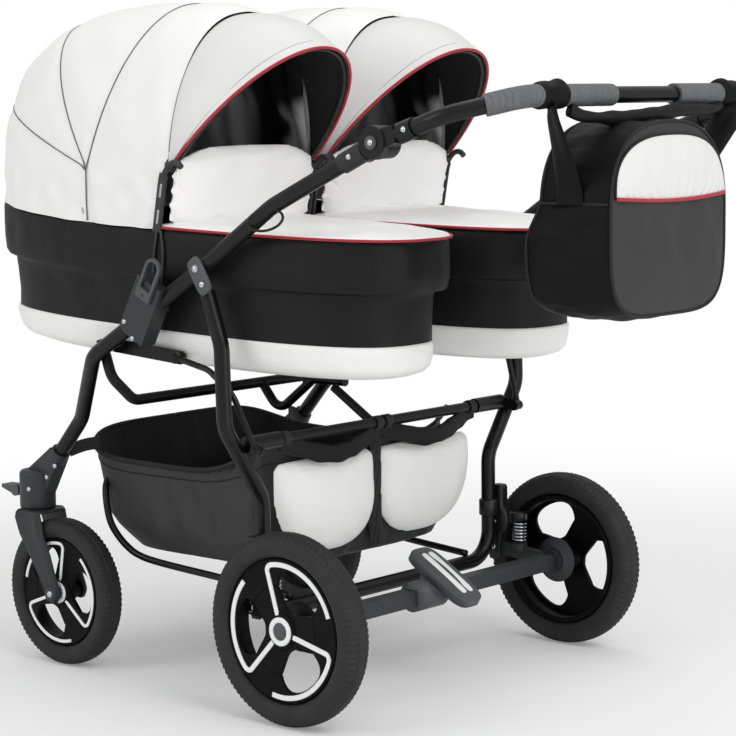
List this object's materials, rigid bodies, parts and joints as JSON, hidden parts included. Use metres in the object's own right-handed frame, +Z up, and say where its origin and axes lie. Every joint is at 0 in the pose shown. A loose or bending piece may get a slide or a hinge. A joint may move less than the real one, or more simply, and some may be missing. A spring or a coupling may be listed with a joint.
{
  "type": "twin pram",
  "caption": "Side-by-side twin pram: folding black tube frame, two hooded white and black carrycots, swivel front wheels, sprung rear axle, basket and changing bag.",
  "frame": {"origin": "on the floor under the middle of the pram's length and width", "axes": "+X the way the pram is pushed, +Y to its left, +Z up"},
  "size_m": [1.264, 0.7958, 1.1154],
  "materials": {
    "black_tube": "semi-gloss black powder coat",
    "dark_plastic": "satin moulded plastic",
    "grey_plastic": "satin grey moulded plastic",
    "axle_metal": "semi-gloss dark paint",
    "bright_metal": "bright plated steel",
    "tyre_rubber": "dull black rubber",
    "rim_plastic": "satin black plastic",
    "dark_leather": "matt charcoal leatherette",
    "grip_leather": "stitched dark grey leatherette",
    "white_leather": "soft white leatherette",
    "mattress_cloth": "woven cotton"
  },
  "bodies": {
    "chassis": {"front_legs": "black_tube", "upper_rails": "black_tube", "frame_rivets": "bright_metal", "front_cross_bar": "black_tube", "cot_adapters": "grey_plastic", "rail_loop": "bright_metal", "handle_sockets": "dark_plastic", "swivel_housings": "dark_plastic", "basket": "dark_leather", "basket_pockets": "white_leather", "basket_rod": "black_tube"},
    "rear_frame": {"rear_leg_frame": "black_tube", "fold_plates": "grey_plastic", "rear_cross_bar": "black_tube", "suspension_housings": "dark_plastic", "suspension_springs": "bright_metal"},
    "axle": {"rear_axle": "axle_metal"},
    "brake": {"brake_pedal": "grey_plastic"},
    "brace_front": {"brace_front_links": "black_tube"},
    "brace_rear": {"brace_rear_links": "black_tube"},
    "handle": {"handle_bar": "black_tube", "handle_grips": "grip_leather"},
    "bag": {"changing_bag": "dark_leather", "bag_straps": "dark_leather"},
    "left_release": {"left_release_loop": "grey_plastic"},
    "left_castor": {"left_fork": "dark_plastic"},
    "left_front_wheel": {"left_front_tyre": "tyre_rubber", "left_front_rim": "rim_plastic"},
    "left_rear_wheel": {"left_rear_tyre": "tyre_rubber", "left_rear_rim": "rim_plastic"},
    "left_lock": {"left_swivel_lock": "grey_plastic"},
    "left_button": {"left_handle_button": "grey_plastic"},
    "left_cot": {"left_tub": "dark_leather", "left_base": "white_leather", "left_mattress": "mattress_cloth", "left_apron": "white_leather", "left_wind_flap": "white_leather", "left_hood_back": "white_leather", "left_hood_arms": "black_tube"},
    "left_hood": {"left_hood_front": "white_leather", "left_hood_bow": "black_tube"},
    "right_release": {"right_release_loop": "grey_plastic"},
    "right_castor": {"right_fork": "dark_plastic"},
    "right_front_wheel": {"right_front_tyre": "tyre_rubber", "right_front_rim": "rim_plastic"},
    "right_rear_wheel": {"right_rear_tyre": "tyre_rubber", "right_rear_rim": "rim_plastic"},
    "right_lock": {"right_swivel_lock": "grey_plastic"},
    "right_button": {"right_handle_button": "grey_plastic"},
    "right_cot": {"right_tub": "dark_leather", "right_base": "white_leather", "right_mattress": "mattress_cloth", "right_apron": "white_leather", "right_wind_flap": "white_leather", "right_hood_back": "white_leather", "right_hood_arms": "black_tube"},
    "right_hood": {"right_hood_front": "white_leather", "right_hood_bow": "black_tube"}
  },
  "joints": [
    {"name": "frame_fold", "type": "hinge", "parent": "chassis", "child": "rear_frame", "pos_m": [0.005, 0, 0.705], "axis": [0, -1, 0], "range_deg": [0, 28], "deforming": ["basket", "basket_pockets", "basket_rod"]},
    {"name": "brace_front_fold", "type": "hinge", "parent": "chassis", "child": "brace_front", "pos_m": [0.23472, 0, 0.56697], "axis": [0, -1, 0], "range_deg": [-27, 0]},
    {"name": "brace_rear_fold", "type": "hinge", "parent": "brace_front", "child": "brace_rear", "pos_m": [0.086, 0, 0.557], "axis": [0, -1, 0], "range_deg": [0, 70]},
    {"name": "rear_suspension", "type": "hinge", "parent": "rear_frame", "child": "axle", "pos_m": [-0.037, 0, 0.165], "axis": [0, 1, 0], "range_deg": [0, 4], "stiffness_Nm_per_rad": 150, "springref_deg": -11.46, "deforming": ["suspension_springs"]},
    {"name": "brake_press", "type": "hinge", "parent": "axle", "child": "brake", "pos_m": [-0.155, 0, 0.152], "axis": [0, -1, 0], "range_deg": [0, 18]},
    {"name": "handle_tilt", "type": "hinge", "parent": "chassis", "child": "handle", "pos_m": [-0.36, 0, 0.902], "axis": [0, 1, 0], "range_deg": [-60, 40]},
    {"name": "bag_hang", "type": "hinge", "parent": "handle", "child": "bag", "pos_m": [-0.562, 0, 0.967], "axis": [0, 1, 0], "range_deg": [-40, 60]},
    {"name": "left_rear_wheel_spin", "type": "hinge", "parent": "axle", "child": "left_rear_wheel", "pos_m": [-0.155, 0.358, 0.152], "axis": [0, 1, 0], "continuous": true},
    {"name": "left_castor_swivel", "type": "hinge", "parent": "chassis", "child": "left_castor", "pos_m": [0.485, 0.308, 0.3], "axis": [0, 0, 1], "continuous": true},
    {"name": "left_front_wheel_spin", "type": "hinge", "parent": "left_castor", "child": "left_front_wheel", "pos_m": [0.418, 0.308, 0.127], "axis": [0, 1, 0], "continuous": true},
    {"name": "left_swivel_lock_flip", "type": "hinge", "parent": "chassis", "child": "left_lock", "pos_m": [0.533, 0.308, 0.292], "axis": [0, -1, 0], "range_deg": [0, 40]},
    {"name": "left_release_pull", "type": "hinge", "parent": "chassis", "child": "left_release", "pos_m": [0.11604, 0.3929, 0.65871], "axis": [0, 1, 0], "range_deg": [0, 25], "stiffness_Nm_per_rad": 0.05, "springref_deg": -22.92},
    {"name": "left_button_press", "type": "slide", "parent": "handle", "child": "left_button", "axis": [0, -1, 0], "range_m": [0, 0.004], "stiffness_N_per_m": 900, "springref_m": -0.001},
    {"name": "left_cot_lift", "type": "slide", "parent": "chassis", "child": "left_cot", "axis": [0, 0, 1], "range_m": [0, 0.2]},
    {"name": "left_hood_fold", "type": "hinge", "parent": "left_cot", "child": "left_hood", "pos_m": [0.103, 0.18, 0.856], "axis": [0, 1, 0], "range_deg": [0, 36], "deforming": ["left_hood_front"]},
    {"name": "right_rear_wheel_spin", "type": "hinge", "parent": "axle", "child": "right_rear_wheel", "pos_m": [-0.155, -0.358, 0.152], "axis": [0, 1, 0], "continuous": true},
    {"name": "right_castor_swivel", "type": "hinge", "parent": "chassis", "child": "right_castor", "pos_m": [0.485, -0.308, 0.3], "axis": [0, 0, 1], "continuous": true},
    {"name": "right_front_wheel_spin", "type": "hinge", "parent": "right_castor", "child": "right_front_wheel", "pos_m": [0.418, -0.308, 0.127], "axis": [0, 1, 0], "continuous": true},
    {"name": "right_swivel_lock_flip", "type": "hinge", "parent": "chassis", "child": "right_lock", "pos_m": [0.533, -0.308, 0.292], "axis": [0, -1, 0], "range_deg": [0, 40]},
    {"name": "right_release_pull", "type": "hinge", "parent": "chassis", "child": "right_release", "pos_m": [0.11604, -0.3929, 0.65871], "axis": [0, 1, 0], "range_deg": [0, 25], "stiffness_Nm_per_rad": 0.05, "springref_deg": -22.92},
    {"name": "right_button_press", "type": "slide", "parent": "handle", "child": "right_button", "axis": [0, 1, 0], "range_m": [0, 0.004], "stiffness_N_per_m": 900, "springref_m": -0.001},
    {"name": "right_cot_lift", "type": "slide", "parent": "chassis", "child": "right_cot", "axis": [0, 0, 1], "range_m": [0, 0.2]},
    {"name": "right_hood_fold", "type": "hinge", "parent": "right_cot", "child": "right_hood", "pos_m": [0.103, -0.18, 0.856], "axis": [0, 1, 0], "range_deg": [0, 36], "deforming": ["right_hood_front"]}
  ],
  "couplings": [
    {"joint": "brace_front_fold", "follows": "frame_fold", "ratio": -0.9398},
    {"joint": "brace_rear_fold", "follows": "frame_fold", "ratio": 2.441},
    {"joint": "bag_hang", "follows": "handle_tilt", "ratio": -1}
  ]
}
